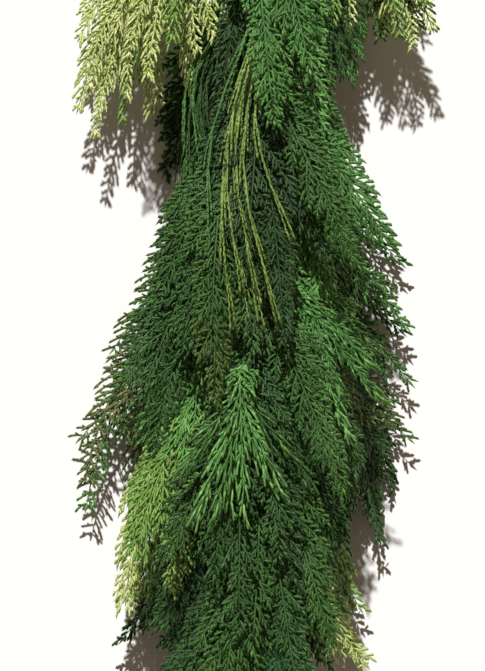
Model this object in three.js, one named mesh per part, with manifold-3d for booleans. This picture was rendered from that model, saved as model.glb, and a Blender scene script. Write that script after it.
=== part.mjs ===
// A section of fresh cedar garland, as cut, lying on a level surface.
//
// The real thing is made by hand. The woody stems of cut cedar tips are wired to a rope, and together they
// make its spine. The tips stand round the spine in whorls of six, and they all point the same way, so
// each whorl lies over the next one as shingles do. Each bunch of a whorl is one stem that carries two or
// three flat fronds, and each frond is a thin blade with teeth where its side sprays grow.
//
// Millimetres, +Z up. The garland lies along Y, with the end that it hangs from at +Y, and its bunches point to
// -Y. The origin is under the middle of its box, on the surface that it lies on.
import * as THREE from "three";
import Module from "manifold-3d";

const wasm = await Module();
wasm.setup();
const { lerp, degToRad } = THREE.MathUtils;

// The spine: the rope and the stems bound to it, thickest at the hanging end.
const spine = {
  top: 402,
  bottom: -170,
  height: 78, // of its middle above the surface
  radiusAtTop: 9,
  radiusAtBottom: 6.5,
  sway: 4, // it wanders this far to each side
  swayLength: 330,
  sides: 8,
  rings: 13,
};

const bladeThickness = 2.4;
const foot = 3.2; // the height of the undermost blades' middle above the surface
const gap = 0.35; // between a stem and the spine
const room = 0.6; // that a blade keeps all round it from the other bunches

// The whorls, from the hanging end down: where each is bound to the spine, and where the tips of its bunches
// hang, as [across, along] and, where it isn't the usual one for that side, the height. `bends` names the sides
// that don't bend as usual.
const whorls = [
  { at: 372, left: [-116, 150, 42], upper_left: [-74, 190], centre: [19, 150],
    upper_right: [54, 122], right: [84, 196, 42], under: [142, 222, 50],
    bends: { left: "early", upper_left: "early", upper_right: "early", right: "early", under: "early" } },
  { at: 312, left: [-44, 84], upper_left: [-32, 112], centre: [8, 10, 152],
    upper_right: [56, 78], right: [116, 44], under: [-52, 120], bends: { upper_right: "late", right: "late" } },
  { at: 252, left: [-60, 30], upper_left: [-34, 44], centre: [32, -8],
    upper_right: [74, 16], right: [130, 2], under: [40, 10] },
  { at: 192, left: [-102, -16], upper_left: [-52, -26], centre: [-30, -52],
    upper_right: [62, -99, 112], right: [132, -42], under: [-40, -40] },
  { at: 132, left: [-124, -88], upper_left: [-66, -92], centre: [0, -136],
    upper_right: [74, -74], right: [126, -90], under: [50, -90] },
  { at: 72, left: [-120, -138], upper_left: [-36, -128], centre: [32, -166],
    upper_right: [66, -142], right: [106, -164], under: [-50, -140], bends: { left: "early", right: "early" } },
  { at: 12, left: [-90, -206, 56], upper_left: [-58, -192, 104], centre: [-6, -222],
    upper_right: [50, -196], right: [92, -216], under: [30, -190],
    bends: { left: "early", upper_left: "early" } },
  { at: -48, left: [-94, -240], upper_left: [-42, -262], centre: [40, -272],
    upper_right: [58, -250], right: [86, -262, 52], under: [-40, -250] },
  { at: -108, left: [-62, -314], upper_left: [-30, -324], centre: [6, -336],
    upper_right: [40, -312], right: [66, -308, 52], under: [10, -300] },
];

// The six sides of a whorl. `round` is the angle on the spine where the bunch is bound, in degrees from +X
// towards +Z, and `below` how far along from the whorl's own place. `tipHeight` is above the surface, and `lean`
// turns the face of its fronds outwards from straight up, in degrees. `outward` is the share of its travel to the
// side that a bunch has made where its axis turns, and `outer` the turn of the frond that it has no room for.
const sides = {
  centre: { round: 90, below: 0, tipHeight: 150, lean: 0, outward: 0.56 },
  upper_left: { round: 145, below: 14, tipHeight: 98, lean: 12, outward: 0.56 },
  upper_right: { round: 35, below: 20, tipHeight: 98, lean: -12, outward: 0.56 },
  left: { round: 190, below: 30, tipHeight: 22, lean: 26, outward: 0.24, outer: -1 },
  right: { round: -10, below: 34, tipHeight: 22, lean: -26, outward: 0.24, outer: 1 },
  under: { round: 270, below: 24, tipHeight: foot, lean: 180, outward: 0.56 },
};

// The rest of the bend of a bunch's axis: its travel along the spine comes late, and its travel up or down early.
// A bunch that bends early stands out at once and then hangs, and one that bends late keeps to the spine at first.
const bend = { along: 0.42, up: 0.9 };
const unusualBends = {
  early: { outward: 0.85, along: 0.32, up: 0.8 },
  late: { ...bend, outward: 0.05 },
};

// A bunch's fronds. `turn` is the angle between a side frond and the middle one, in degrees, `from` is where
// it leaves the middle one, `start` where its own blade starts, `bare` where its teeth start, `share` its length
// and `rise` how far its tip lifts.
const fronds = [
  { turn: 0, from: 0, start: 0.13, bare: 0.36, share: 1, rise: 0, teeth: 5, halfWidth: 26 },
  { turn: 16, from: 0.13, start: 0.05, bare: 0.2, share: 0.84, rise: 6, teeth: 3, halfWidth: 22 },
  { turn: -17, from: 0.17, start: 0.05, bare: 0.2, share: 0.8, rise: -6, teeth: 3, halfWidth: 22 },
];

// One bunch is of long whips instead, which have hardly any side sprays.
const whipBunch = "centre_bunch_2";
const whips = [-3.6, 3.8, -1, 1.4].map((turn, k) => ({
  turn,
  from: 0.13 + 0.02 * k,
  start: 0.03,
  bare: 0.3,
  share: 0.99 - 0.02 * k,
  rise: 4 * (k - 1),
  teeth: 4,
  halfWidth: 5,
}));

const stem = { radiusAtRoot: 2.6, radiusAtEnd: 1.7, share: 0.2, rings: 3, sunk: 2 };
const rib = { atRoot: 2.2, atTip: 0.9 }; // half its width
const toothAngle = 40; // between a tooth and the rib, in degrees
const lastTooth = 0.93; // where along a frond its last tooth ends
const ribAhead = 0.07; // a rib stops this far, as a share of the frond, before anything in its way

// How far a frond's tip may be lifted or lowered, to pass over or under the fronds that are there already.
const lifts = [0, 6, -6, 12, -12, 18, -18, 24, -24, 30, -30];

// The greens: most bunches are deep green, and some are younger or were cut from another tree.
const barkColour = "#5a4a33";
const deepGreen = "#37522b";
const tints = {
  "#6f8745": ["left_bunch_1", "upper_left_bunch_1", "under_bunch_1", "left_bunch_7", "upper_left_bunch_7"],
  "#7d9440": ["centre_bunch_2"],
  "#477a3a": ["centre_bunch_1", "upper_right_bunch_1", "upper_right_bunch_4", "centre_bunch_5", "right_bunch_1"],
};

// The same seeded stream of numbers from 0 to 1 everywhere.
function stream(seed) {
  let state = seed >>> 0;
  return () => {
    state = (state + 0x6d2b79f5) >>> 0;
    let t = Math.imul(state ^ (state >>> 15), 1 | state);
    t = (t + Math.imul(t ^ (t >>> 7), 61 | t)) ^ t;
    return ((t ^ (t >>> 14)) >>> 0) / 4294967296;
  };
}

// A solid from its points and its triangles.
function solidOf(points, triangles) {
  const vertProperties = new Float32Array(points.flatMap((p) => [p.x, p.y, p.z]));
  const triVerts = new Uint32Array(triangles.flat());
  return new wasm.Manifold(new wasm.Mesh({ numProp: 3, vertProperties, triVerts }));
}

// A closed tube through rings of points, all with the same count, with flat ends.
function tube(rings) {
  const count = rings[0].length;
  const triangles = [];
  for (let r = 0; r + 1 < rings.length; r++) {
    for (let k = 0; k < count; k++) {
      const here = r * count + k;
      const next = r * count + ((k + 1) % count);
      triangles.push([here, next, next + count], [here, next + count, here + count]);
    }
  }
  const last = (rings.length - 1) * count;
  for (let k = 1; k + 1 < count; k++) {
    triangles.push([0, k + 1, k], [last, last + k, last + k + 1]);
  }
  return solidOf(rings.flat(), triangles);
}

// The middle of the spine, and its radius, at a place along it.
function spineAt(along) {
  const down = (spine.top - along) / (spine.top - spine.bottom);
  const wave = Math.sin((2 * Math.PI * (spine.top - along)) / spine.swayLength);
  return {
    middle: new THREE.Vector3(spine.sway * wave, along, spine.height - (spine.sway / 2) * wave),
    radius: lerp(spine.radiusAtTop, spine.radiusAtBottom, down),
  };
}

// The spine, grown all round by `extra`.
function spineSolid(extra) {
  const rings = [];
  for (let r = 0; r < spine.rings; r++) {
    const along = lerp(spine.top + extra, spine.bottom - extra, r / (spine.rings - 1));
    const { middle, radius } = spineAt(along);
    const ring = [];
    for (let k = 0; k < spine.sides; k++) {
      const angle = (2 * Math.PI * k) / spine.sides;
      const arm = new THREE.Vector3(Math.cos(angle), 0, Math.sin(angle));
      ring.push(middle.clone().addScaledVector(arm, radius + extra));
    }
    rings.push(ring);
  }
  return tube(rings);
}

// The surface that a frond lies in. A point of it is `along` the axis, from 0 at the root to 1 at the tip,
// `across` the frond and `above` its face.
class Frond {
  constructor(root, turning, tip, face) {
    this.axis = new THREE.QuadraticBezierCurve3(root, turning, tip);
    this.face = face;
    this.length = root.distanceTo(tip);
  }

  point(along, across, above) {
    const forward = this.axis.getTangent(along);
    const side = new THREE.Vector3().crossVectors(this.face, forward).normalize();
    const up = new THREE.Vector3().crossVectors(forward, side);
    return this.axis.getPoint(along).addScaledVector(side, across).addScaledVector(up, above);
  }

  // The same frond with its tip lifted off its face by some millimetres.
  lifted(by) {
    const { v0, v1, v2 } = this.axis;
    const turning = v1.clone().addScaledVector(this.face, by / 2);
    return new Frond(v0, turning, v2.clone().addScaledVector(this.face, by), this.face);
  }

  // A side frond, which leaves this one and turns away from it.
  branch({ turn, from, share, rise }) {
    if (turn === 0) return this;
    const root = this.axis.getPoint(from);
    const [turning, tip] = [this.axis.v1, this.axis.v2].map((point) =>
      point
        .clone()
        .sub(root)
        .applyAxisAngle(this.face, degToRad(turn))
        .multiplyScalar(share)
        .add(root)
        .addScaledVector(this.face, rise),
    );
    return new Frond(root, turning, tip, this.face);
  }
}

// How wide a frond is at a place along it, as a share of its widest: it opens fast, and narrows to its tip.
function fullness(along) {
  return Math.min(1, 0.3 + 2.6 * along) * 1.18 * Math.pow(1 - along, 0.55);
}

// The teeth of a frond, in pairs, each with its two ends on the rib and its point, as [along, across].
function teethOf(frond, kind, random) {
  const made = [];
  for (let k = 0; k < kind.teeth; k++) {
    const from = lerp(kind.bare, lastTooth, k / kind.teeth);
    const to = lerp(kind.bare, lastTooth, (k + 1) / kind.teeth);
    for (const hand of [-1, 1]) {
      const angle = degToRad(toothAngle * (0.9 + 0.2 * random()));
      const width = kind.halfWidth * fullness(from) * (0.85 + 0.3 * random());
      const reach = width / Math.sin(degToRad(toothAngle));
      const forward = (reach * Math.cos(angle)) / frond.length;
      const point = [Math.min(0.99, (from + to) / 2 + forward), hand * reach * Math.sin(angle)];
      made.push({ hand, step: k, from, to, point });
    }
  }
  return made;
}

function ribWidth(along) {
  return lerp(rib.atRoot, rib.atTip, along);
}

// A slab over flat triangles in a frond's surface. Its outline runs round them anticlockwise.
function slab(frond, flat, triangles, outline, thickness) {
  const count = flat.length;
  const points = [1, -1].flatMap((face) =>
    flat.map(([along, across]) => frond.point(along, across, (face * thickness) / 2)),
  );
  const closed = triangles.flatMap(([a, b, c]) => [
    [a, b, c],
    [c + count, b + count, a + count],
  ]);
  outline.forEach((a, k) => {
    const b = outline[(k + 1) % outline.length];
    closed.push([a + count, b + count, b], [a + count, b, a]);
  });
  return solidOf(points, closed);
}

// The room that one tooth needs.
function toothRoom(frond, tooth) {
  const margin = (2 * room) / frond.length;
  const flat = [
    [tooth.from - margin, tooth.hand * ribWidth(tooth.from)],
    [tooth.point[0] + margin, tooth.point[1] + tooth.hand * room],
    [tooth.to + margin, tooth.hand * ribWidth(tooth.to)],
  ];
  const order = tooth.hand < 0 ? [0, 1, 2] : [0, 2, 1];
  return slab(frond, flat, [order], order, bladeThickness + 2 * room);
}

// The room that a stretch of rib needs.
function ribRoom(frond, from, to) {
  const flat = [
    [from, -ribWidth(from) - room],
    [to, -ribWidth(to) - room],
    [to, ribWidth(to) + room],
    [from, ribWidth(from) + room],
  ];
  const halves = [
    [0, 1, 2],
    [0, 2, 3],
  ];
  return slab(frond, flat, halves, [0, 1, 2, 3], bladeThickness + 2 * room);
}

// The solids made so far, each with the bunch that owns it. A bunch's own stem is never in its way.
const placed = [];

function place(owner, solid) {
  placed.push({ owner, solid, box: solid.boundingBox() });
}

function hasRoom(owner, solid, siblings = []) {
  const box = solid.boundingBox();
  if (box.min[2] < 0) return false;
  const near = (other) => [0, 1, 2].every((k) => box.min[k] <= other.max[k] && other.min[k] <= box.max[k]);
  const others = placed.filter((other) => other.owner !== owner);
  return ![...others, ...siblings].some(
    (other) => near(other.box) && other.solid.intersect(solid).volume() > 1e-6,
  );
}

// The blade: a rib with the teeth that have room, up to the place where the rib itself has none.
function blade(frond, kind, random, owner, siblings) {
  const teeth = teethOf(frond, kind, random);
  const steps = [...new Set(teeth.map((tooth) => tooth.from)), lastTooth];
  const bare = [kind.start, (kind.start + kind.bare) / 2];
  const free = (from, to) => hasRoom(owner, ribRoom(frond, from, to));
  if (!free(bare[0], bare[1]) || !free(bare[1], steps[0])) return { reached: 0 };
  let reached = 0;
  while (
    reached < kind.teeth &&
    free(steps[reached], steps[reached + 1]) &&
    free(steps[reached + 1], steps[reached + 1] + ribAhead)
  ) {
    reached++;
  }
  if (reached < 2) return { reached: 0 };
  const stations = [...bare, ...steps.slice(0, reached + 1)];
  const end = reached === kind.teeth ? 1 : stations.at(-1) + ribAhead / 2;
  const flat = [];
  const right = stations.map((along) => flat.push([along, -ribWidth(along)]) - 1);
  const left = stations.map((along) => flat.push([along, ribWidth(along)]) - 1);
  const tip = flat.push([end, 0]) - 1;
  const triangles = [[right.at(-1), tip, left.at(-1)]];
  const rightOutline = [];
  const leftOutline = [];
  stations.forEach((along, k) => {
    rightOutline.push(right[k]);
    leftOutline.push(left[k]);
    if (k + 1 === stations.length) return;
    triangles.push([right[k], right[k + 1], left[k + 1]], [right[k], left[k + 1], left[k]]);
    for (const tooth of teeth.filter((t) => t.from === along && t.step < reached)) {
      if (!hasRoom(owner, toothRoom(frond, tooth), siblings)) continue;
      const point = flat.push(tooth.point) - 1;
      if (tooth.hand < 0) {
        triangles.push([right[k], point, right[k + 1]]);
        rightOutline.push(point);
      } else {
        triangles.push([left[k], left[k + 1], point]);
        leftOutline.push(point);
      }
    }
  });
  const outline = [...rightOutline, tip, ...leftOutline.reverse()];
  return { frond, reached, solid: slab(frond, flat, triangles, outline, bladeThickness) };
}

// A frond's blade at the first lift that gives it room all the way, or else at the one that takes it furthest.
function bladeWithRoom(frond, kind, seed, owner, siblings) {
  let best = { reached: 0 };
  for (const lift of lifts) {
    const made = blade(frond.lifted(lift), kind, stream(seed), owner, siblings);
    if (made.reached > best.reached) best = made;
    if (best.reached === kind.teeth) break;
  }
  return best;
}

// The axis of a bunch's middle frond, from the spine to its tip.
function bunchAxis(whorl, side) {
  const { round, below, tipHeight, lean, outward } = sides[side];
  const { middle, radius } = spineAt(whorl.at - below);
  const arm = new THREE.Vector3(Math.cos(degToRad(round)), 0, Math.sin(degToRad(round)));
  const root = middle.clone().addScaledVector(arm, radius - stem.sunk);
  const [across, along, height = tipHeight] = whorl[side];
  const tip = new THREE.Vector3(across, along, height);
  const bow = unusualBends[whorl.bends?.[side]] ?? { ...bend, outward };
  const turning = new THREE.Vector3(
    lerp(root.x, tip.x, bow.outward),
    lerp(root.y, tip.y, bow.along),
    lerp(root.z, tip.z, bow.up),
  );
  const face = new THREE.Vector3(-Math.sin(degToRad(lean)), 0, Math.cos(degToRad(lean)));
  return new Frond(root, turning, tip, face);
}

// A bunch's stem, three-sided, along the start of its middle frond's axis.
function stemSolid(frond) {
  const rings = [];
  for (let r = 0; r < stem.rings; r++) {
    const share = r / (stem.rings - 1);
    const radius = lerp(stem.radiusAtRoot, stem.radiusAtEnd, share);
    const ring = [0, 1, 2].map((k) => {
      const angle = (2 * Math.PI * k) / 3 - Math.PI / 2;
      return frond.point(share * stem.share, radius * Math.cos(angle), radius * Math.sin(angle));
    });
    rings.push(ring);
  }
  return tube(rings);
}

// The finished bunch: its stem with its blades fused on, cut clear of the spine.
function bunchSolid({ name, side, seed, axis, stemOf }) {
  let middle = axis;
  let made = stemOf;
  const blades = [];
  const kinds = name === whipBunch ? whips : fronds;
  kinds.forEach((kind, k) => {
    if (Math.sign(kind.turn) === sides[side].outer) return;
    const best = bladeWithRoom(middle.branch(kind), kind, 10 * seed + k, name, blades);
    if (best.reached === 0) return;
    if (kind.turn === 0) middle = best.frond;
    made = made.add(best.solid);
    blades.push({ solid: best.solid, box: best.solid.boundingBox() });
  });
  const pieces = made.subtract(spineRoom).decompose();
  return pieces.reduce((a, b) => (a.volume() > b.volume() ? a : b));
}

function meshOf(name, solid, color) {
  const { vertProperties, triVerts } = solid.getMesh();
  const geometry = new THREE.BufferGeometry();
  geometry.setAttribute("position", new THREE.BufferAttribute(vertProperties, 3));
  geometry.setIndex(new THREE.BufferAttribute(triVerts, 1));
  const material = new THREE.MeshStandardMaterial({ color, roughness: 0.7, metalness: 0 });
  const mesh = new THREE.Mesh(geometry, material);
  mesh.name = name;
  return mesh;
}

const garland = new THREE.Group();
const spineRoom = spineSolid(gap);
garland.add(meshOf("spine", spineSolid(0), barkColour));

// Every stem is placed first, so that each blade keeps clear of all of them.
const bunches = whorls.flatMap((whorl, w) =>
  Object.keys(sides).map((side, s) => {
    const axis = bunchAxis(whorl, side);
    return { name: `${side}_bunch_${w + 1}`, side, seed: 100 * (w + 1) + s, axis, stemOf: stemSolid(axis) };
  }),
);
for (const { name, stemOf } of bunches) place(name, stemOf);
for (const bunch of bunches) {
  const solid = bunchSolid(bunch);
  place(bunch.name, solid);
  const tint = Object.keys(tints).find((key) => tints[key].includes(bunch.name)) ?? deepGreen;
  garland.add(meshOf(bunch.name, solid, tint));
}

// The whole garland moves so that its box stands on the origin.
const box = new THREE.Box3().setFromObject(garland);
const centre = box.getCenter(new THREE.Vector3());
garland.position.set(-centre.x, -centre.y, -box.min.z);

export default garland;
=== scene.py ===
# A section of fresh cedar garland, lying as cut on a pale floor, seen from straight above.
#
# Hand-made garland is cut cedar tips wired to a rope, in whorls that overlap as shingles do. Every tip is
# a flat frond that branches three times over, down to branchlets of tiny scale leaves some 2 mm across.
#
# Metres, +Z up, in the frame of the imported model. The garland lies along Y and hangs from its +Y end. Its
# own sizes are in millimetres and degrees.
import math

import bpy
import numpy as np
from mathutils import Matrix, Vector


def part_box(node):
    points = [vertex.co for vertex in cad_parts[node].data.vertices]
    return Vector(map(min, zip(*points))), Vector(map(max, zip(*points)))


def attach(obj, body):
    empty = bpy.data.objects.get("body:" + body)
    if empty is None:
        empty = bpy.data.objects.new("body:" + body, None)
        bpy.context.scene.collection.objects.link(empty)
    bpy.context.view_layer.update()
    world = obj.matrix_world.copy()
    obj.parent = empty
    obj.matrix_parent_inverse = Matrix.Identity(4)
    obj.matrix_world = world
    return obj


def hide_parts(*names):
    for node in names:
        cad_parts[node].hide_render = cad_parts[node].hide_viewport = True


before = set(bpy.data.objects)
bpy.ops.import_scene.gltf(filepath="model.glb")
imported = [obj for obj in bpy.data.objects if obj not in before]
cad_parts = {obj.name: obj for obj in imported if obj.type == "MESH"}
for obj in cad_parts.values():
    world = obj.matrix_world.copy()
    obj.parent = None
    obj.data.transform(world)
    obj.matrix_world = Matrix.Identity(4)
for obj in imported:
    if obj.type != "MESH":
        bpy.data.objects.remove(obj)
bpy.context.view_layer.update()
bpy.ops.object.select_all(action="DESELECT")
mm = 0.001

# ---------------------------------------------------------------------------------------------------------
# The rope: a length of twisted jute, 7 mm thick, down the middle of the garland. The cut tips are laid on it
# and wired to it, and the whole hangs from it. It wanders a little, as the tips pull it to and fro.

# The spine is the rope with all that is bound to it, and it is thickest at the end that it hangs from.
spine = {
    "top": 402,
    "bottom": -170,
    "height": 78,
    "radius_at_top": 9,
    "radius_at_bottom": 6.5,
    "sway": 4,
    "sway_length": 330,
}
spine_steps = 12
rope_radius = 3.4
wire_radius = 0.4
end_inset = 1


def lerp(a, b, share):
    return a + (b - a) * share


def spine_at(along):
    """The middle of the spine and its radius, at a place along it."""
    wave = np.sin(2 * math.pi * (spine["top"] - along) / spine["sway_length"])
    down = (spine["top"] - along) / (spine["top"] - spine["bottom"])
    middle = [spine["sway"] * wave, along, spine["height"] - spine["sway"] / 2 * wave]
    return np.array(middle), lerp(spine["radius_at_top"], spine["radius_at_bottom"], down)


# The garland's own millimetres become the frame's metres by a shift, which the spine's solid gives.
drawn = [spine_at(lerp(spine["top"], spine["bottom"], k / spine_steps)) for k in range(spine_steps + 1)]
own_low = np.array([
    min(middle[0] - radius for middle, radius in drawn),
    spine["bottom"],
    min(middle[2] - radius for middle, radius in drawn),
])
shift = np.array(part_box("spine")[0]) - own_low * mm


def laid_along(name, radius, ring_sides, steps, off_axis=0, from_degrees=0, turns=0):
    """A round length laid along the spine, drawn out of a disc step by step, with both ends closed.

    Its off_axis is 0 where it keeps to the middle, and 1 where it winds round that just inside the wire.
    """
    bpy.ops.object.select_all(action="DESELECT")
    bpy.ops.mesh.primitive_circle_add(
        vertices=ring_sides, radius=radius * mm, fill_type="NGON", location=(0, 0, 0),
        rotation=(math.pi / 2, 0, 0))
    piece = bpy.context.object
    piece.name = piece.data.name = name
    bpy.ops.object.transform_apply(location=True, rotation=True, scale=True)

    def middle_at(k):
        along = lerp(spine["top"] - end_inset, spine["bottom"] + end_inset, k / steps)
        middle, spine_radius = spine_at(along)
        angle = math.radians(from_degrees + 360 * turns * k / steps)
        arm = off_axis * (spine_radius - wire_radius - radius)
        return Vector((middle + arm * np.array([math.cos(angle), 0, math.sin(angle)])) * mm + shift)

    piece.data.transform(Matrix.Translation(middle_at(0)))
    bpy.ops.object.mode_set(mode="EDIT")
    bpy.ops.mesh.select_all(action="SELECT")
    for k in range(steps):
        bpy.ops.mesh.extrude_region_move(TRANSFORM_OT_translate={"value": middle_at(k + 1) - middle_at(k)})
    bpy.ops.mesh.select_all(action="SELECT")
    bpy.ops.mesh.normals_make_consistent(inside=False)
    bpy.ops.object.mode_set(mode="OBJECT")
    return piece


def relief(piece, patch, height):
    """Raise and lower a piece's surface in patches, once it is fine enough to carry them."""
    finer = piece.modifiers.new("finer", "SUBSURF")
    finer.levels = finer.render_levels = 2
    clouds = bpy.data.textures.new(piece.name, "CLOUDS")
    clouds.noise_scale = patch * mm
    rough = piece.modifiers.new("rough", "DISPLACE")
    rough.texture = clouds
    rough.texture_coords = "GLOBAL"
    rough.strength = height * mm
    bpy.context.view_layer.objects.active = piece
    for modifier in ("finer", "rough"):
        bpy.ops.object.modifier_apply(modifier=modifier)
    piece.data.shade_smooth()


def linear(code):
    """An sRGB hex colour as linear red, green, blue and alpha."""
    channels = [int(code[k : k + 2], 16) / 255 for k in (1, 3, 5)]
    return [c / 12.92 if c <= 0.04045 else ((c + 0.055) / 1.055) ** 2.4 for c in channels] + [1]


def add_node(tree, kind, settings=None, values=None, links=None, tones=None):
    """A node with its settings, its sockets' values, the links into it and, for a ramp, its two tones."""
    node = tree.nodes.new(kind)
    for key, value in (settings or {}).items():
        setattr(node, key, value)
    for key, value in (values or {}).items():
        node.inputs[key].default_value = value
    for key, source in (links or {}).items():
        tree.links.new(source, node.inputs[key])
    if tones:
        for element, (place, colour) in zip(node.color_ramp.elements, tones):
            element.position, element.color = place, linear(colour)
    return node


def start_material(name, roughness):
    """A material, its tree, its shader and the place on the piece that its patterns read."""
    material = bpy.data.materials.new(name)
    material.use_nodes = True
    tree = material.node_tree
    shader = tree.nodes["Principled BSDF"]
    shader.inputs["Roughness"].default_value = roughness
    return material, tree, shader, add_node(tree, "ShaderNodeTexCoord").outputs["Object"]


rope = laid_along("rope", rope_radius, ring_sides=12, steps=48)
relief(rope, patch=2.5, height=0.5)

# Jute twine: dry tan fibres that are laid at a slant, so it looks matt and combed.
jute, jute_tree, jute_shader, jute_place = start_material("twisted_jute", roughness=0.9)
strand_spacing_mm = 4.5
# Diagonal bands repeat along an axis every 2 pi / 10 of the pattern's own unit.
jute_lay = add_node(jute_tree, "ShaderNodeTexWave", {"bands_direction": "DIAGONAL"},
                    {"Scale": 2 * math.pi / (10 * strand_spacing_mm * mm), "Distortion": 2, "Detail": 2},
                    {"Vector": jute_place})
jute_tone = add_node(jute_tree, "ShaderNodeValToRGB", links={"Fac": jute_lay.outputs["Fac"]},
                     tones=[(0.2, "#7a6240"), (0.8, "#b79c6e")])
jute_bump = add_node(jute_tree, "ShaderNodeBump", values={"Strength": 0.8, "Distance": 0.5 * mm},
                     links={"Height": jute_lay.outputs["Fac"]})
jute_tree.links.new(jute_tone.outputs["Color"], jute_shader.inputs["Base Color"])
jute_tree.links.new(jute_bump.outputs["Normal"], jute_shader.inputs["Normal"])

rope.data.materials.append(jute)
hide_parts("spine")
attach(rope, "root")

# ---------------------------------------------------------------------------------------------------------
# The bound stems: the woody ends of the cut cedar tips, 6 mm thick and still in their bark. They lie along
# the rope, packed round it, and wind round it a little, so that no two have the same course.

bound_stems = 7
bound_stem_radius = 2.9

stems = [laid_along(f"bound_stem_{k + 1}", bound_stem_radius, ring_sides=8, steps=40, off_axis=1,
                    from_degrees=360 * k / bound_stems, turns=0.8)
         for k in range(bound_stems)]

# Grey-brown cedar bark: stringy and matt, with a redder brown where the outer strips have come away.
bark, bark_tree, bark_shader, bark_place = start_material("cedar_bark", roughness=0.85)
strip_width_mm = 1.1
# The strips run along the garland, and are this many times longer than they are wide.
strip_stretch = 12.5
bark_strips = add_node(bark_tree, "ShaderNodeMapping", values={"Scale": (1, 1 / strip_stretch, 1)},
                       links={"Vector": bark_place})
bark_grain = add_node(bark_tree, "ShaderNodeTexNoise", values={"Scale": 1000 / strip_width_mm, "Detail": 3},
                      links={"Vector": bark_strips.outputs["Vector"]})
bark_tone = add_node(bark_tree, "ShaderNodeValToRGB", links={"Fac": bark_grain.outputs["Fac"]},
                     tones=[(0.36, "#4a3826"), (0.66, "#8a7458")])
bark_bump = add_node(bark_tree, "ShaderNodeBump", values={"Strength": 0.7, "Distance": 0.4 * mm},
                     links={"Height": bark_grain.outputs["Fac"]})
bark_tree.links.new(bark_tone.outputs["Color"], bark_shader.inputs["Base Color"])
bark_tree.links.new(bark_bump.outputs["Normal"], bark_shader.inputs["Normal"])

for stem in stems:
    relief(stem, patch=5, height=0.9)
    stem.data.materials.append(bark)
    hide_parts("spine")
    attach(stem, "root")

# ---------------------------------------------------------------------------------------------------------
# The binding wire: thin painted steel from a paddle, wound tightly round the rope and the stems from end to
# end, a turn every 15 mm. It holds every cut tip to the rope, and its own pull holds it.

wire_pitch = 15
wire_inset = 3
wire_turns = int((spine["top"] - spine["bottom"] - 2 * wire_inset) / wire_pitch)

# It is wound on a straight round core first, and then follows the spine's sway and taper.
bpy.ops.object.select_all(action="DESELECT")
bpy.ops.mesh.primitive_circle_add(
    vertices=6, radius=wire_radius * mm, location=(spine["radius_at_top"] * mm, 0, 0))
wire = bpy.context.object
wire.name = wire.data.name = "binding_wire"
bpy.ops.object.transform_apply(location=True, rotation=True, scale=True)
wound = wire.modifiers.new("wound", "SCREW")
wound.axis = "Y"
wound.angle = 2 * math.pi
wound.screw_offset = -wire_pitch * mm
wound.iterations = wire_turns
wound.steps = wound.render_steps = 20
bpy.ops.object.modifier_apply(modifier="wound")
bpy.ops.object.mode_set(mode="EDIT")
bpy.ops.mesh.select_all(action="SELECT")
bpy.ops.mesh.remove_doubles(threshold=0.01 * mm)
bpy.ops.mesh.select_all(action="DESELECT")
bpy.ops.mesh.select_non_manifold()
bpy.ops.mesh.edge_face_add()
bpy.ops.mesh.select_all(action="SELECT")
bpy.ops.mesh.normals_make_consistent(inside=False)
bpy.ops.object.mode_set(mode="OBJECT")
for vertex in wire.data.vertices:
    x, y, z = vertex.co / mm
    middle, radius = spine_at(spine["top"] - wire_inset + y)
    closer = (radius - wire_radius) / spine["radius_at_top"]
    vertex.co = Vector(np.array([middle[0] + x * closer, middle[1], middle[2] + z * closer]) * mm + shift)

# Green paddle wire: thin steel under green paint, with a low, even gloss that is a little worn.
paint, paint_tree, paint_shader, paint_place = start_material("green_painted_wire", roughness=0.4)
worn_patch_mm = 4
paint_wear = add_node(paint_tree, "ShaderNodeTexNoise", values={"Scale": 1000 / worn_patch_mm, "Detail": 3},
                      links={"Vector": paint_place})
paint_tone = add_node(paint_tree, "ShaderNodeValToRGB", links={"Fac": paint_wear.outputs["Fac"]},
                      tones=[(0.4, "#1f3a22"), (0.7, "#35573a")])
paint_tree.links.new(paint_tone.outputs["Color"], paint_shader.inputs["Base Color"])

wire.data.materials.append(paint)
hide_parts("spine")
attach(wire, "root")

# ---------------------------------------------------------------------------------------------------------
# The bunches: nine whorls of six, each a bunch of cut tips that the wire holds to the rope by its stem. A
# bunch bends away from the spine and hangs over the whorls below, and its fronds fan out from its stem.

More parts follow.
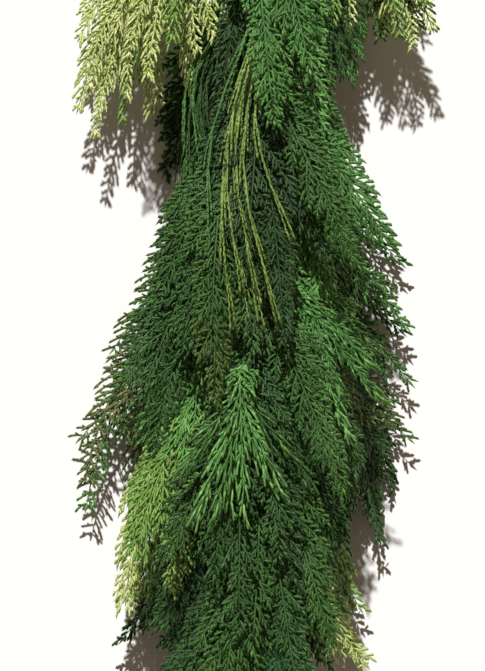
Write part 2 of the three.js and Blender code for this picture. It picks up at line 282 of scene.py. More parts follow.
# Where each whorl is bound, and how far across and along each bunch's tip is, with its height where that
# isn't its side's usual one, and the bunches that bend unusually. These are the sizes of the solids.
whorls = [
    dict(at=372, left=(-116, 150, 42), upper_left=(-74, 190), centre=(19, 150), upper_right=(54, 122),
         right=(84, 196, 42), under=(142, 222, 50),
         bends=dict(left="early", upper_left="early", upper_right="early", right="early", under="early")),
    dict(at=312, left=(-44, 84), upper_left=(-32, 112), centre=(8, 10, 152), upper_right=(56, 78),
         right=(116, 44), under=(-52, 120), bends=dict(upper_right="late", right="late")),
    dict(at=252, left=(-60, 30), upper_left=(-34, 44), centre=(32, -8), upper_right=(74, 16),
         right=(130, 2), under=(40, 10)),
    dict(at=192, left=(-102, -16), upper_left=(-52, -26), centre=(-30, -52), upper_right=(62, -99, 112),
         right=(132, -42), under=(-40, -40)),
    dict(at=132, left=(-124, -88), upper_left=(-66, -92), centre=(0, -136), upper_right=(74, -74),
         right=(126, -90), under=(50, -90)),
    dict(at=72, left=(-120, -138), upper_left=(-36, -128), centre=(32, -166), upper_right=(66, -142),
         right=(106, -164), under=(-50, -140), bends=dict(left="early", right="early")),
    dict(at=12, left=(-90, -206, 56), upper_left=(-58, -192, 104), centre=(-6, -222), upper_right=(50, -196),
         right=(92, -216), under=(30, -190), bends=dict(left="early", upper_left="early")),
    dict(at=-48, left=(-94, -240), upper_left=(-42, -262), centre=(40, -272), upper_right=(58, -250),
         right=(86, -262, 52), under=(-40, -250)),
    dict(at=-108, left=(-62, -314), upper_left=(-30, -324), centre=(6, -336), upper_right=(40, -312),
         right=(66, -308, 52), under=(10, -300)),
]
upper_whorls = 4

# Each side's place round the spine in degrees and how far below the whorl it is bound, its tip's height, the
# way that its fronds lean, how far out it is where it bends, and which way the garland's edge is from it.
sides = {
    "centre": dict(round=90, below=0, tip_height=150, lean=0, outward=0.56, outer=None),
    "upper_left": dict(round=145, below=14, tip_height=98, lean=12, outward=0.56, outer=None),
    "upper_right": dict(round=35, below=20, tip_height=98, lean=-12, outward=0.56, outer=None),
    "left": dict(round=190, below=30, tip_height=22, lean=26, outward=0.24, outer=-1),
    "right": dict(round=-10, below=34, tip_height=22, lean=-26, outward=0.24, outer=1),
    "under": dict(round=270, below=24, tip_height=3.2, lean=180, outward=0.56, outer=None),
}
# How much of its way out, along and up a bunch has gone where its axis turns, when it doesn't bend as usual.
unusual_bends = {"early": (0.85, 0.32, 0.8), "late": (0.05, 0.42, 0.9)}
# A bunch's stem starts this far inside the spine.
stem_sunk = 2


def unit(vectors):
    return vectors / np.linalg.norm(vectors, axis=-1, keepdims=True)


class Frond:
    """The surface that a frond lies in: an axis that bends once, and the way that its face looks."""

    def __init__(self, root, turning, tip, face):
        self.root, self.turning, self.tip, self.face = root, turning, tip, face
        self.length = np.linalg.norm(tip - root)

    def points(self, forward, across, above):
        """The places that lie so far forward along the axis, across it and above it."""
        a = np.asarray(forward / self.length)[..., None]
        axis = (1 - a) ** 2 * self.root + 2 * a * (1 - a) * self.turning + a**2 * self.tip
        ahead = unit(2 * (1 - a) * (self.turning - self.root) + 2 * a * (self.tip - self.turning))
        side = unit(np.cross(self.face, ahead))
        return axis + side * across[..., None] + np.cross(ahead, side) * above[..., None]

    def branch(self, turn, start, share, rise):
        """A side frond, which leaves this one and turns away from it."""
        zero = np.zeros(1)
        root = self.points(np.array([start * self.length]), zero, zero)[0]
        turned = np.array(Matrix.Rotation(math.radians(turn), 3, Vector(self.face)))
        lift = rise * self.face
        turning, tip = [root + share * turned @ (p - root) + lift for p in (self.turning, self.tip)]
        return Frond(root, turning, tip, self.face)


def bunch_axis(whorl, side):
    """The middle frond of a bunch: from the spine's surface, by its bend, to its tip."""
    around = sides[side]
    middle, radius = spine_at(whorl["at"] - around["below"])
    angle = math.radians(around["round"])
    root = middle + (radius - stem_sunk) * np.array([math.cos(angle), 0, math.sin(angle)])
    across, along, *height = whorl[side]
    tip = np.array([across, along, height[0] if height else around["tip_height"]])
    usual_bend = (around["outward"], 0.42, 0.9)
    bend = unusual_bends.get(whorl.get("bends", {}).get(side), usual_bend)
    lean = math.radians(around["lean"])
    face = np.array([-math.sin(lean), 0, math.cos(lean)])
    return Frond(root, root + (tip - root) * np.array(bend), tip, face)


# ---------------------------------------------------------------------------------------------------------
# The sprays: fresh cedar foliage, which grows flat. A frond is an axis with long fingers in turn on both
# sides, a finger has branchlets in turn on both sides, and the longer branchlets have a lobe or two. All of
# them are strands of tiny overlapping scale leaves, soft and a little fleshy.

# How a kind of frond grows: the half width of its blade and the spacing of its fingers, the angles at which
# they leave the axis and end, the shortest finger, how fast the blade tapers, and then the branchlets'
# spacing, angle, greatest length and width.
habits = {
    "fan": dict(half_width=23, spacing=6.6, leaves_at=42, ends_at=20, shortest=11, taper=0.55,
                branchlet_spacing=2.9, angle=36, longest=11, branchlet_width=2.5),
    "broad": dict(half_width=24, spacing=5.8, leaves_at=42, ends_at=20, shortest=11, taper=0.55,
                  branchlet_spacing=2.8, angle=36, longest=11.5, branchlet_width=2.8),
    "comb": dict(half_width=20, spacing=3.7, leaves_at=58, ends_at=36, shortest=11, taper=0.42,
                 branchlet_spacing=4.2, angle=30, longest=4, branchlet_width=1.8),
    "fringe": dict(half_width=21, spacing=7.8, leaves_at=30, ends_at=7, shortest=15, taper=0.55,
                   branchlet_spacing=3.1, angle=31, longest=10.5, branchlet_width=2.4),
    "tassel": dict(half_width=10.5, spacing=3.1, leaves_at=40, ends_at=22, shortest=6, taper=0.34,
                   branchlet_spacing=3.9, angle=30, longest=3.2, branchlet_width=1.9),
    "plume": dict(half_width=9, spacing=3.6, leaves_at=40, ends_at=20, shortest=5, taper=0.4,
                  branchlet_spacing=3.4, angle=30, longest=4, branchlet_width=1.9),
    "bushy": dict(half_width=17, spacing=4.6, leaves_at=48, ends_at=26, shortest=9, taper=0.5,
                  branchlet_spacing=3.2, angle=34, longest=7, branchlet_width=2.2),
    "whip": dict(half_width=4, spacing=34, leaves_at=8, ends_at=3, shortest=36, taper=0.5,
                 branchlet_spacing=2.8, angle=5, longest=4.2, branchlet_width=1.4),
}
strand_width = {"axis": 1.9, "finger": 1.9, "lobe": 1.7, "tip": 2.3}
tip_length = 7
shortest_branchlet = 2.8
lobed_from = 6
# How far a frond strays from its surface: it is rolled and cupped, it ripples, and its tip sweeps sideways.
roll_spread = 0.18
cup = 0.003
ripple_height = 1.8
ripple_length = 17
sweep_spread = 6
# A whip swings this far to each side, a little more than once.
whip_sway = 8
whip_waves = 1.12

# A strand's section, in shares of its half width: flat below with a keel on top, or round.
keeled = [(1, 0), (0, 0.45), (-1, 0)]
round_twig = [(math.cos(a), math.sin(a)) for a in np.arange(6) * math.pi / 3]

# The fronds of a bunch: each one's angle to the middle one, where it leaves that, its length as a share of
# what is left from there, its lift, its bare part, and how far its tip sweeps where that isn't chance.
middle_frond = dict(turn=0, start=0, share=1.0, rise=0, bare=0.2)
# Most bunches have five fronds that overlap in a fan, and a slim fan fits in where there is less room.
fan = [
    middle_frond,
    dict(turn=16, start=0.13, share=0.84, rise=4, bare=0.12),
    dict(turn=-17, start=0.17, share=0.8, rise=-9, bare=0.12),
    dict(turn=9, start=0.3, share=0.74, rise=-12, bare=0.1),
    dict(turn=-8, start=0.22, share=0.8, rise=7, bare=0.1),
]
slim_fan = [
    middle_frond,
    dict(turn=12, start=0.13, share=0.84, rise=4, bare=0.12),
    dict(turn=-8, start=0.17, share=0.82, rise=-9, bare=0.12),
    dict(turn=6, start=0.3, share=0.74, rise=-12, bare=0.1),
    dict(turn=-4, start=0.22, share=0.8, rise=7, bare=0.1),
]
slim_right_fan = [dict(blade, turn=-blade["turn"]) for blade in slim_fan]
# This one keeps to the right, but for a low frond on its left.
right_fan = [
    middle_frond,
    dict(turn=15, start=0.13, share=0.84, rise=4, bare=0.12),
    dict(turn=4, start=0.17, share=0.74, rise=-9, bare=0.12),
    dict(turn=9, start=0.1, share=0.9, rise=-6, bare=0.1),
    dict(turn=-9, start=0.2, share=0.86, rise=-34, bare=0.1),
]
# The bunches under the spine have three fronds, as there is little room for them.
low_fan = [
    middle_frond,
    dict(turn=14, start=0.13, share=0.84, rise=4, bare=0.12),
    dict(turn=-14, start=0.17, share=0.84, rise=5, bare=0.12),
]
# At the garland's two edges a turn is outwards, and most of the fronds turn inwards to fill the body. The
# slim one has no frond that turns outwards, and the wide one has three more.
edge = [
    middle_frond,
    dict(turn=-17, start=0.17, share=0.8, rise=-6, bare=0.12),
    dict(turn=-9, start=0.2, share=0.86, rise=5, bare=0.12),
    dict(turn=4, start=0.3, share=0.66, rise=2, bare=0.5),
    dict(turn=-3, start=0.25, share=0.82, rise=-4, bare=0.15),
    dict(turn=5, start=0.42, share=0.46, rise=-3, bare=0.3),
    dict(turn=-7, start=0.15, share=0.8, rise=22, bare=0.1),
    dict(turn=-13, start=0.2, share=0.78, rise=13, bare=0.1),
]
slim_edge = [blade for blade in edge if blade["turn"] <= 0]
wide_edge = edge + [
    dict(turn=7.5, start=0.15, share=0.85, rise=-7, bare=0.15),
    dict(turn=12, start=0.15, share=0.73, rise=-9, bare=0.15),
    dict(turn=2, start=0.2, share=0.92, rise=-5, bare=0.15),
]
# Four long fronds hang close together, either straight down or towards the garland's middle.
hanging = [
    middle_frond,
    dict(turn=7, start=0.2, share=0.84, rise=-6, bare=0.2),
    dict(turn=-8, start=0.2, share=0.9, rise=5, bare=0.2),
    dict(turn=3, start=0.35, share=0.56, rise=6, bare=0.1),
]
inward = [
    middle_frond,
    dict(turn=6, start=0.2, share=0.9, rise=-5, bare=0.2),
    dict(turn=11, start=0.16, share=0.82, rise=5, bare=0.2),
    dict(turn=2.5, start=0.35, share=0.6, rise=6, bare=0.1),
]


def fronds(bare, rows):
    """Fronds with the same bare part, out of rows of turn, start, share and rise."""
    return [dict(zip(("turn", "start", "share", "rise"), row), bare=bare) for row in rows]


# Many narrow tassels hang from one stem and spread widely, and the second set has one more.
tassels = fronds(0.12, [
    (0, 0, 1.0, 0), (4, 0.16, 0.9, -7), (-3.5, 0.1, 0.94, 5), (8, 0.2, 0.8, 6), (-6, 0.14, 0.84, -6),
    (12, 0.12, 0.84, -3), (-8, 0.1, 0.72, 3), (6, 0.42, 0.5, -9), (-4, 0.4, 0.46, 8), (16, 0.1, 0.78, 4),
    (21, 0.1, 0.7, -4), (26, 0.1, 0.66, 2), (2, 0.3, 0.74, -5), (10, 0.26, 0.68, 7), (-14, 0.1, 0.8, -4),
    (-19, 0.1, 0.74, 4), (-25, 0.1, 0.68, -3), (-9, 0.1, 0.86, 2),
])
far_tassels = tassels + fronds(0.12, [(-5, 0.1, 0.98, -6)])
# A frond whose plumes open all at once near its end, as the fingers of a hand do.
open_fan = [dict(turn=0.5, start=0, share=0.8, rise=-8, bare=0.2, habit="fringe")] + fronds(0.06, [
    (-21, 0.69, 1.1, 2), (-13.5, 0.7, 1.08, 4), (-7, 0.7, 0.96, -1), (3, 0.7, 1.06, 5),
    (12, 0.7, 0.8, 2), (27, 0.69, 0.9, 3), (-36, 0.67, 0.84, -3), (40, 0.68, 0.7, -3),
])
# A broad frond whose plumes leave it one after another from its middle on.
long_fan = [dict(turn=0.5, start=0, share=0.82, rise=-6, bare=0.3, habit="broad")] + fronds(0.04, [
    (0.5, 0.56, 1.02, 4), (-9, 0.6, 0.84, 2), (10, 0.6, 0.9, 3), (23, 0.56, 0.82, 1),
    (-18, 0.54, 0.74, -1), (-27, 0.5, 0.6, -3), (34, 0.52, 0.66, -2), (13, 0.4, 0.74, 5),
])
# Long young shoots with hardly a side branch, which hang as a loose skein.
whips = [
    dict(turn=-4.6, start=0.1, share=1.03, rise=0, bare=0.15, sweep=0.1),
    dict(turn=-4.3, start=0.12, share=0.93, rise=5, bare=0.15, sweep=5),
    dict(turn=-3.6, start=0.16, share=1.0, rise=-4, bare=0.15, sweep=10),
    dict(turn=-3.1, start=0.1, share=0.96, rise=3, bare=0.15, sweep=14),
    dict(turn=-2.4, start=0.12, share=1.02, rise=-6, bare=0.15, sweep=16),
    dict(turn=-1.5, start=0.14, share=1.01, rise=4, bare=0.15, sweep=22),
    dict(turn=4, start=0.1, share=0.8, rise=7, bare=0.15, sweep=6),
    dict(turn=-9, start=0.12, share=0.88, rise=-5, bare=0.15, sweep=0.1),
]

# The tints that the fronds of a common bunch are dealt in turn, and then what each other bunch has of its
# own: its habit, its set of fronds, its tints.
# In a fan of five, the third and fourth fronds lie under the others, and their tints are always shade with
# deep or pine: painted shade for the lower layer.
common_tints = [
    "moss blue shade deep moss",
    "deep moss pine shade deep",
    "blue pine deep shade olive",
    "pine deep shade pine moss",
]
# Where a bunch's tints hold shade, that is painted shade: it goes on low fronds and on the bunches that fill
# the dark gaps beside the whips and among the lowest whorls.
own_ways = {
    "centre_bunch_1": dict(blades=right_fan, tints="mid mid shade mid shade"),
    "upper_left_bunch_1": dict(habit="tassel", blades=tassels, tints="yellow yellow yellow lime yellow"),
    "upper_right_bunch_1": dict(blades=hanging, tints="fresh deep fresh mid"),
    "left_bunch_1": dict(habit="tassel", blades=tassels, tints="yellow lime yellow yellow yellow yellow"),
    "right_bunch_1": dict(habit="fringe", blades=hanging, tints="mid mid deep"),
    "under_bunch_1": dict(habit="tassel", blades=far_tassels, tints="yellow lime olive"),
    "centre_bunch_2": dict(habit="whip", blades=whips, tints="whip whip lime whip whip whip whip mid"),
    "upper_left_bunch_2": dict(habit="whip", blades=whips, tints="deep mid shade"),
    "upper_right_bunch_2": dict(blades=hanging, tints="deep moss shade moss"),
    "left_bunch_2": dict(habit="whip", blades=whips, tints="shade deep"),
    "right_bunch_2": dict(tints="moss deep mid"),
    "centre_bunch_3": dict(tints="shade moss shade shade shade"),
    "upper_left_bunch_3": dict(habit="whip", blades=whips, tints="deep moss shade"),
    # This bunch lies in the shade of the bunches above it, and its lighter fresh tints are painted light
    # that lifts that shade.
    "upper_right_bunch_3": dict(habit="broad", tints="fresh mid fresh mid mid"),
    "left_bunch_3": dict(habit="tassel"),
    "right_bunch_3": dict(habit="bushy", tints="mid moss mid deep"),
    "centre_bunch_4": dict(blades=slim_fan, tints="olive moss deep"),
    "upper_left_bunch_4": dict(blades=slim_fan),
    "upper_right_bunch_4": dict(habit="plume", blades=long_fan,
                                tints="mid fresh fresh fresh mid mid moss mid mid"),
    "left_bunch_4": dict(habit="comb", blades=slim_edge, tints="olive weathered moss deep"),
    "right_bunch_4": dict(habit="bushy", blades=wide_edge, tints="moss olive mid deep moss"),
    "centre_bunch_5": dict(habit="plume", blades=open_fan,
                           tints="moss fresh mid fresh fresh fresh mid mid moss"),
    "upper_right_bunch_5": dict(tints="mid mid deep shade moss"),
    "left_bunch_5": dict(habit="comb", tints="olive mid weathered moss"),
    "right_bunch_5": dict(habit="bushy", blades=wide_edge, tints="olive moss weathered deep"),
    "upper_left_bunch_6": dict(habit="fringe", tints="fresh moss mid shade fresh"),
    "left_bunch_6": dict(habit="comb", blades=hanging, tints="mid olive weathered moss"),
    "right_bunch_6": dict(blades=wide_edge),
    "centre_bunch_7": dict(tints="deep shade"),
    "upper_left_bunch_7": dict(habit="fringe", blades=hanging, tints="lime mid lime lime"),
    "upper_right_bunch_7": dict(habit="fringe", tints="deep shade mid"),
    "left_bunch_7": dict(habit="fringe", blades=inward, tints="yellow lime lime lime"),
    "right_bunch_7": dict(tints="lime mid lime deep"),
    "centre_bunch_8": dict(tints="deep moss shade"),
    "upper_left_bunch_8": dict(tints="shade deep"),
    "upper_right_bunch_8": dict(blades=slim_right_fan, tints="shade moss shade deep"),
    "left_bunch_8": dict(tints="shade deep"),
    "right_bunch_8": dict(tints="yellow lime yellow mid"),
    "upper_right_bunch_9": dict(blades=slim_right_fan),
    "right_bunch_9": dict(tints="lime yellow mid yellow"),
}


def fullness(along, taper):
    """How wide a blade is at a share of its length: it opens over the first quarter, then tapers."""
    opened = np.minimum(1, 0.3 + 2.6 * along)
    return opened * 1.18 * np.maximum(0.02, 1 - along) ** taper


class Runs:
    """Strands in the plane of a frond, which leave its axis and bend forward."""

    def __init__(self, base, hand, length, leaves, ends, slope, droop):
        self.base, self.hand, self.length = base, hand, length
        self.leaves, self.ends, self.slope, self.droop = leaves, ends, slope, droop

    def at(self, k, distance):
        """The place at a distance along strand k, as forward, across and above, and the heading there."""
        bend = (self.leaves[k] - self.ends[k]) * distance / self.length[k]
        mean = self.leaves[k] - bend / 2
        forward = self.base[k] + distance * np.cos(mean)
        across = self.hand[k] * distance * np.sin(mean)
        above = self.slope[k] * distance - self.droop[k] * distance**2
        return np.stack([forward, across, above], -1), self.leaves[k] - bend


# The floor's height in the garland's own millimetres, and how far above it the lowest strands are kept.
floor_at = -shift[2] / mm
floor_gap = 1.2


def grow(frond, blade, habit, draw, outer=None):
    """The strands of one frond and those of its young tips, each as stations, a face and widths.

    The outer hand of the frond is the one towards the garland's edge, where it has one.
    """
    length, bare = frond.length, blade["bare"]
    strands, tips = [], []
    roll = draw.normal(0, roll_spread)
    wave = draw.uniform(0, 2 * math.pi)
    sweep = blade.get("sweep") or draw.normal(0, sweep_spread)

    def lay(places, width, tilt=0.25, into=strands):
        """Strands through places given as forward, across and above, each with its face tilted a little."""
        forward, across, above = places[..., 0], places[..., 1], places[..., 2]
        ripple = ripple_height * np.sin(forward / ripple_length + wave) + roll * across - cup * across**2
        bend = sweep * (forward / length) ** 3
        if habit is habits["whip"]:
            bend = bend + whip_sway * np.sin(2 * math.pi * whip_waves * forward / length)
        placed = frond.points(forward, across + bend, above + ripple)
        placed[..., 2] = np.maximum(placed[..., 2], floor_at + floor_gap)
        up = frond.face + draw.normal(0, tilt, (len(places), 3))
        into.append((placed, up, np.broadcast_to(width, places.shape[:1] + (places.shape[1] - 2,))))

    # The fingers, in turn on both sides, no two quite alike.
    count = max(3, int(length * (1 - bare) / habit["spacing"]))
    order = np.arange(count)
    hand = np.where(order % 2 == 0, 1.0, -1.0) * draw.choice([-1, 1])
    at = np.clip(bare + (1 - bare) * (order + draw.uniform(-0.3, 0.3, count)) / count, 0.02, 0.97)
    leaves = np.radians(habit["leaves_at"] * draw.uniform(0.8, 1.2, count))
    ends = np.radians(habit["ends_at"] * draw.uniform(0.5, 1.5, count))
    half_width = habit["half_width"] * fullness(at, habit["taper"]) * draw.uniform(0.7, 1.15, count)
    reach = half_width / np.sin((leaves + ends) / 2)
    # Towards the garland's edge the blade keeps in at first, and then opens.
    reach = np.where(hand == outer, reach * np.clip(0.2 + 0.95 * at, 0, 1), reach)
    reach = np.clip(reach, habit["shortest"], (1.03 - at) * length + 3)
    fingers = Runs(at * length, hand, reach, leaves, ends,
                   draw.normal(0.02, 0.1, count), draw.uniform(0.001, 0.006, count))
    # The frond's axis is one more run, straight ahead.
    axis = Runs(*[np.array([v]) for v in (0.0, 1.0, length, 0.0, 0.0, 0.0, 0.0)])

    # The first and last station of a strand close it to a point.
    stations, _ = axis.at(np.zeros(9, int), np.linspace(0, 1, 9) * length)
    lay(stations[None], strand_width["axis"] * np.linspace(1.25, 0.9, 7), 0)
    steps = np.array([-0.03, 0.08, 0.4, 0.72, 0.93, 1.0])
    k = np.repeat(order, len(steps)).reshape(count, -1)
    stations, _ = fingers.at(k, steps * reach[:, None])
    lay(stations, strand_width["finger"] * np.array([0.9, 1.0, 1.05, 1.1]), 0.2)

    # Branchlets start near a finger's root, and nearly a third of the way along the axis.
    for runs, first in ((fingers, 2.5), (axis, 0.3 * length)):
        # The pale young tip of each.
        k = np.arange(len(runs.length))
        steps = np.array([1.0, 0.6, -0.14]) * tip_length
        stations, _ = runs.at(k[:, None], runs.length[:, None] - steps)
        lay(stations, strand_width["tip"], 0.2, tips)

        # Its branchlets, in turn on both sides, shorter towards its end.
        spacing = habit["branchlet_spacing"]
        number = np.maximum(1, ((runs.length - first - 2.5) / spacing).astype(int))
        k = np.repeat(np.arange(len(number)), number)
        index = np.concatenate([np.arange(n) for n in number])
        distance = first + (index + draw.uniform(-0.25, 0.25, len(k))) * spacing
        branchlet_hand = np.where(index % 2 == 0, 1.0, -1.0)
        size = np.clip(0.62 * (runs.length[k] - distance), shortest_branchlet, habit["longest"])
        size = size * draw.uniform(0.7, 1.15, len(k))
        start, heading = runs.at(k, distance)
        start[:, 2] += 0.4
        angle = heading + branchlet_hand * np.radians(habit["angle"]) * draw.uniform(0.75, 1.25, len(k))
        way = np.stack([np.cos(angle), runs.hand[k] * np.sin(angle), draw.normal(0, 0.08, len(k))], -1)
        end = start + size[:, None] * way
        # They bend forward a little, and end bluntly.
        bend = np.stack([0.09 * size, -0.12 * branchlet_hand * runs.hand[k] * size, np.zeros(len(k))], -1)
        stations = [start - 0.5 * way, lerp(start, end, 0.3) - 0.3 * bend, lerp(start, end, 0.8), end + bend]
        lay(np.stack(stations, 1), habit["branchlet_width"] * np.array([0.8, 1.0]), 0.14)

        # The lobes of the longer branchlets, one on each side.
        lobed = np.flatnonzero(size > lobed_from)
        for share, lobe_hand in ((0.35, 1.0), (0.6, -1.0)):
            spread = np.radians(habit["angle"]) * draw.uniform(0.8, 1.2, len(lobed))
            lobe_angle = angle[lobed] + lobe_hand * spread
            lobe_way = np.stack([np.cos(lobe_angle), runs.hand[k][lobed] * np.sin(lobe_angle),
                                 draw.normal(0, 0.1, len(lobed))], -1)
            root = start[lobed] + share * size[lobed, None] * way[lobed]
            tip = root + (0.45 * (1.2 - share) * size[lobed])[:, None] * lobe_way
            lay(np.stack([root, lerp(root, tip, 0.6), tip], 1), strand_width["lobe"])
    return strands, tips


def weave(name, strands, profile):
    """One mesh of closed strands through their stations, with a profile of shares of the half width."""
    profile_sides = len(profile)
    points, faces, start = [], [], 0
    for centre, up, width in strands:
        number, stations = centre.shape[:2]
        rings = stations - 2
        along = unit(centre[:, 2:] - centre[:, :-2])
        side = unit(np.cross(up[:, None], along))
        above = np.cross(along, side)
        half = width[..., None] / 2
        middle = centre[:, 1:-1]
        ring = [middle + half * (side * across + above * high) for across, high in profile]
        ring = np.stack(ring, 2).reshape(number, rings * profile_sides, 3)
        points.append(np.concatenate([centre[:, :1], ring, centre[:, -1:]], 1).reshape(-1, 3))
        last = rings * profile_sides + 1
        corners = []
        for k in range(profile_sides):
            n = (k + 1) % profile_sides
            corners.append((0, 1 + n, 1 + k))
            corners.append((last, last - profile_sides + k, last - profile_sides + n))
            for r in range(rings - 1):
                a, b = 1 + profile_sides * r + k, 1 + profile_sides * r + n
                corners += [(a, b, b + profile_sides), (a, b + profile_sides, a + profile_sides)]
        each = start + (last + 1) * np.arange(number)
        faces.append((np.array(corners)[None] + each[:, None, None]).reshape(-1, 3))
        start += number * (last + 1)
    points, faces = np.concatenate(points), np.concatenate(faces)
    mesh = bpy.data.meshes.new(name)
    mesh.vertices.add(len(points))
    mesh.vertices.foreach_set("co", (points * mm + shift).astype(np.float32).ravel())
    mesh.loops.add(faces.size)
    mesh.loops.foreach_set("vertex_index", faces.astype(np.int32).ravel())
    mesh.polygons.add(len(faces))
    mesh.polygons.foreach_set("loop_start", np.arange(0, faces.size, 3, dtype=np.int32))
    mesh.update(calc_edges=True)
    mesh.shade_smooth()
    piece = bpy.data.objects.new(name, mesh)
    bpy.context.scene.collection.objects.link(piece)
    return piece


leaf_scale_mm = 1.4
leaf_patch_mm = 11


def cedar(name, dark, light):
    """Fresh cedar leaf: satin, in soft patches of two greens, and pebbled by its scales.

    Light gets a little way into it and comes out greener, so that the thin strands aren't black in shade.
    """
    material, tree, shader, place = start_material(name, roughness=0.55)
    patches = add_node(tree, "ShaderNodeTexNoise", values={"Scale": 1000 / leaf_patch_mm, "Detail": 2},
                       links={"Vector": place})
    tone = add_node(tree, "ShaderNodeValToRGB", links={"Fac": patches.outputs["Fac"]},
                    tones=[(0.35, dark), (0.65, light)])
    scales = add_node(tree, "ShaderNodeTexVoronoi", values={"Scale": 1000 / leaf_scale_mm},
                      links={"Vector": place})
    bump = add_node(tree, "ShaderNodeBump", values={"Strength": 0.2, "Distance": 0.4 * mm},
                    links={"Height": scales.outputs["Distance"]})
    tree.links.new(tone.outputs["Color"], shader.inputs["Base Color"])
    tree.links.new(bump.outputs["Normal"], shader.inputs["Normal"])
    shader.inputs["Specular IOR Level"].default_value = 0.3
    shader.inputs["Subsurface Weight"].default_value = 0.35
    shader.inputs["Subsurface Radius"].default_value = (0.5, 1.0, 0.25)
    shader.inputs["Subsurface Scale"].default_value = 2 * mm
    return material


# Each tint's darker and lighter tone, the same of its young tips, and its slot.
# The tint called shade is painted shade: a darker copy of the greens, with tips as dark, for fronds that lie
# under others or fill dark gaps between the sprays. Deep and pine are darker greens of their own that are
# also dealt to lower fronds as painted shade.
tints = {
    "deep": ("#244017", "#345528", "#3f642e", "#52793e", "foliage_deep"),
    "pine": ("#223e1b", "#32542b", "#3b6031", "#4d7441", "foliage_deep"),
    "moss": ("#294819", "#395b28", "#476d33", "#587f3e", "foliage_deep"),
    "blue": ("#234423", "#315932", "#3c6a40", "#4d7b4f", "foliage_deep"),
    "olive": ("#31451a", "#405827", "#4c6b34", "#5e7c3b", "foliage_deep"),
    "shade": ("#1d3416", "#2b4621", "#305025", "#406232", "foliage_deep"),
    "mid": ("#375f27", "#4b7b3a", "#598b3f", "#719f4f", "foliage_fresh"),
    "fresh": ("#487636", "#62954b", "#68974b", "#7eae5d", "foliage_fresh"),
    "weathered": ("#4a5229", "#69713e", "#6a6236", "#857b4c", "foliage_deep"),
    "yellow": ("#96ab58", "#c0cf83", "#bdca7c", "#d5dc95", "foliage_yellow_green"),
    "lime": ("#5b7f34", "#79994c", "#83a455", "#9bb769", "foliage_yellow_green"),
    "whip": ("#5b7a2f", "#7e984b", "#7a9448", "#8c8a4c", "foliage_whips"),
}

# Every bunch has its own seed, and its strands are gathered by tint and by half of the garland.
grown = {(tint, half): ([], [], set()) for tint in tints for half in ("upper", "lower")}
twigs = []
for w, whorl in enumerate(whorls):
    half = "upper" if w < upper_whorls else "lower"
    for number, side in enumerate(sides):
        name = f"{side}_bunch_{w + 1}"
        draw = np.random.default_rng(100 * (w + 1) + number)
        middle = bunch_axis(whorl, side)
        outer = sides[side]["outer"]
        own = own_ways.get(name, {})
        habit = own.get("habit", "fan")
        blades = own.get("blades", low_fan if side == "under" else edge if outer else fan)
        dealt = own.get("tints", common_tints[(w + number) % len(common_tints)]).split()
        for b, blade in enumerate(blades):
            tint = dealt[b % len(dealt)]
            turn = blade["turn"] and blade["turn"] + draw.normal(0, 0.4 if blades is whips else 1.5)
            if blades in (edge, slim_edge, wide_edge):
                turn *= outer
            frond = middle.branch(turn, blade["start"], blade["share"], blade["rise"]) if turn else middle
            strands, tips = grow(frond, blade, habits[blade.get("habit", habit)], draw, outer and -outer)
            grown[tint, half][0].extend(strands)
            grown[tint, half][1].extend(tips)
            grown[tint, half][2].add(name)
            # Its twig is woody for the first part of its length, and lies just under the axis.
            twig_radius, woody = (2.9, 0.34) if frond is middle else (1.8, 0.2)
            zero = np.zeros(6)
            stations = frond.points(np.linspace(0, woody, 6) * frond.length, zero, zero - 0.3)
            twigs.append((stations[None], frond.face[None], 2 * twig_radius * np.linspace(1, 0.45, 4)[None]))

for (tint, half), (strands, tips, names) in grown.items():
    if not strands:
        continue
    *tones, slot = tints[tint]
    for part, parts, (dark, light) in (("sprays", strands, tones[:2]), ("tips", tips, tones[2:])):
        piece = weave(f"{tint}_{part}_{half}", parts, keeled)
        piece.data.materials.append(cedar(f"cedar_{tint}_{part}", dark, light))
        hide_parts(*sorted(names))
        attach(piece, "root")

# ---------------------------------------------------------------------------------------------------------
# The twigs: the woody lower part of every frond's axis, from its cut end or its fork to where the green
# begins. They are of the same wood and bark as the bound stems, and the middle ones are held by the wire.

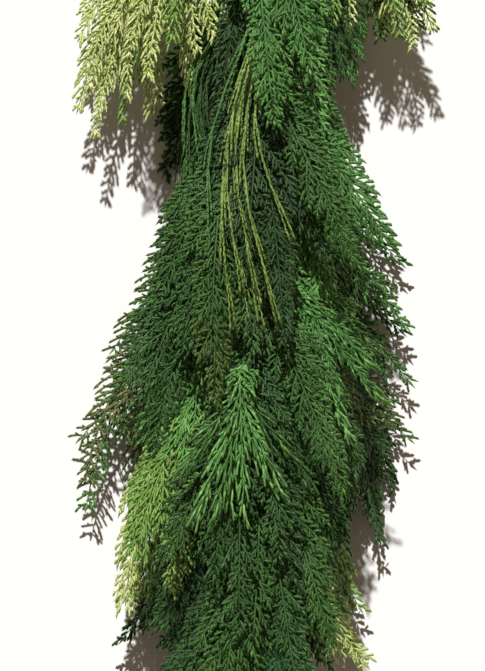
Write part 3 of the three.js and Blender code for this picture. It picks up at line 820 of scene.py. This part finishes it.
wood = weave("twigs", twigs, round_twig)
wood.data.materials.append(bark)
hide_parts(*sorted(name for _, _, names in grown.values() for name in names))
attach(wood, "root")

# ---------------------------------------------------------------------------------------------------------
# The studio: a matt white painted floor, a key light from the hanging end that casts the garland's shadow,
# a faint warm light from all round, and the camera, which looks straight down on the garland's middle.

floor_size = 6.0
bpy.ops.mesh.primitive_plane_add(size=floor_size, location=(0, 0, 0))
floor = bpy.context.object
floor.name = "floor"
# White wall paint: matt and very slightly warm, so it shows soft shadows and no reflection.
floor_paint = bpy.data.materials.new("matt_white_paint")
floor_paint.use_nodes = True
floor_shader = floor_paint.node_tree.nodes["Principled BSDF"]
floor_shader.inputs["Base Color"].default_value = linear("#dfdddb")
floor_shader.inputs["Roughness"].default_value = 0.8
floor.data.materials.append(floor_paint)

# The light from all round, as linear red, green, blue and alpha, is faint and warm.
around_colour = (1.0, 0.78, 0.59, 1)
around_strength = 0.195
world = bpy.data.worlds.new("studio")
bpy.context.scene.world = world
world.use_nodes = True
world.node_tree.nodes["Background"].inputs["Color"].default_value = around_colour
world.node_tree.nodes["Background"].inputs["Strength"].default_value = around_strength

key_from = Vector((-0.14, 1.15, 1.0))
key_strength = 6.1
key_degrees_wide = 1.5
sun = bpy.data.lights.new("key", "SUN")
sun.energy = key_strength
sun.angle = math.radians(key_degrees_wide)
key = bpy.data.objects.new("key", sun)
bpy.context.scene.collection.objects.link(key)
key.rotation_euler = key_from.to_track_quat("Z", "Y").to_euler()

# The picture is this wide at the garland's middle height.
view_width = 0.364
middle_height = 0.085
camera_height = 2.2
lens_mm = 85
camera_data = bpy.data.cameras.new("camera")
camera_data.lens = lens_mm
camera_data.sensor_fit = "HORIZONTAL"
camera_data.sensor_width = view_width / (camera_height - middle_height) * lens_mm
camera = bpy.data.objects.new("camera", camera_data)
bpy.context.scene.collection.objects.link(camera)
camera.location = (shift[0], shift[1], camera_height)
bpy.context.scene.camera = camera
bpy.context.scene.view_settings.view_transform = "Standard"
